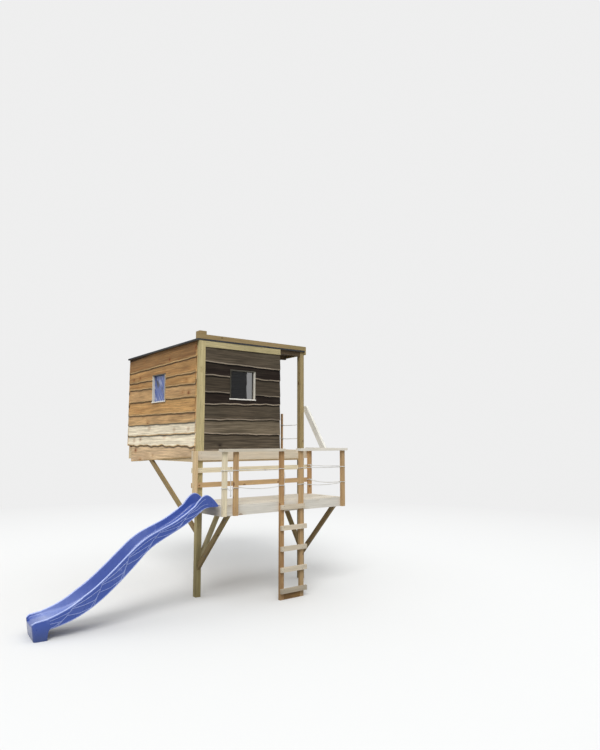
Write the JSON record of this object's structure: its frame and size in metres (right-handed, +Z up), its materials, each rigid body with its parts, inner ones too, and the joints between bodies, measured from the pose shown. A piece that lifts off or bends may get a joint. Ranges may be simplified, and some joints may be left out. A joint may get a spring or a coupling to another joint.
{
  "type": "tree house with play deck and slide",
  "caption": "Boarded cabin on tall posts with a porch, a lower play deck with rope rails, a ladder and a moulded wave slide.",
  "frame": {"origin": "middle of the corner post's foot, on the ground", "axes": "+Z up, +X along the cabin's front towards the porch, +Y from the deck back under the cabin"},
  "size_m": [4.7898, 3.6566, 4.1055],
  "materials": {
    "treated_post": "green-yellow pressure-treated sawn timber",
    "new_board": "pale new sawn softwood",
    "rail_timber": "sawn softwood, cream to orange, with knots",
    "white_board": "planed whitewood",
    "warm_cladding": "waney-edged larch boards, orange-tan",
    "grey_cladding": "waney-edged boards, weathered dark grey-brown",
    "weathered_board": "weathered brown board",
    "window_frame": "white-painted timber, worn",
    "window_glass": "clear pane with a bluish sheen of sky",
    "roof_felt": "black mineral roofing felt",
    "rope": "off-white twisted rope",
    "slide_plastic": "glossy blue moulded plastic, scuffed"
  },
  "bodies": {
    "root": {"corner_post": "treated_post", "porch_post": "treated_post", "front_floor_beam": "rail_timber", "left_floor_beam": "rail_timber", "inner_floor_beam": "rail_timber", "porch_side_beam": "rail_timber", "back_floor_beam": "rail_timber", "floor_joists": "rail_timber", "cabin_floor": "rail_timber", "porch_floor": "rail_timber", "left_wall": "warm_cladding", "front_wall": "grey_cladding", "back_wall": "warm_cladding", "door_side_wall": "grey_cladding", "rear_side_wall": "grey_cladding", "over_door_wall": "grey_cladding", "corner_board": "treated_post", "front_plate_board": "new_board", "left_window_frame": "window_frame", "front_window_frame": "window_frame", "window_panes": "window_glass", "rafters": "rail_timber", "roof_boards": "rail_timber", "roof_covering": "roof_felt", "roof_front_edge": "new_board", "roof_right_edge": "new_board", "deck_boards": "new_board", "deck_fascia": "new_board", "deck_end_boards": "new_board", "deck_back_beam": "rail_timber", "deck_joists": "rail_timber", "front_rail_posts": "rail_timber", "back_rail_posts": "rail_timber", "left_handrail": "new_board", "right_handrail": "new_board", "back_top_rail": "rail_timber", "back_slim_rails": "rail_timber", "end_handrail": "new_board", "ladder_sides": "rail_timber", "ladder_rungs": "new_board", "ladder_foot_board": "weathered_board", "knee_braces": "treated_post", "diagonal_rail": "white_board", "porch_rail_posts": "white_board", "ropes": "rope", "slide": "slide_plastic"}
  },
  "joints": []
}
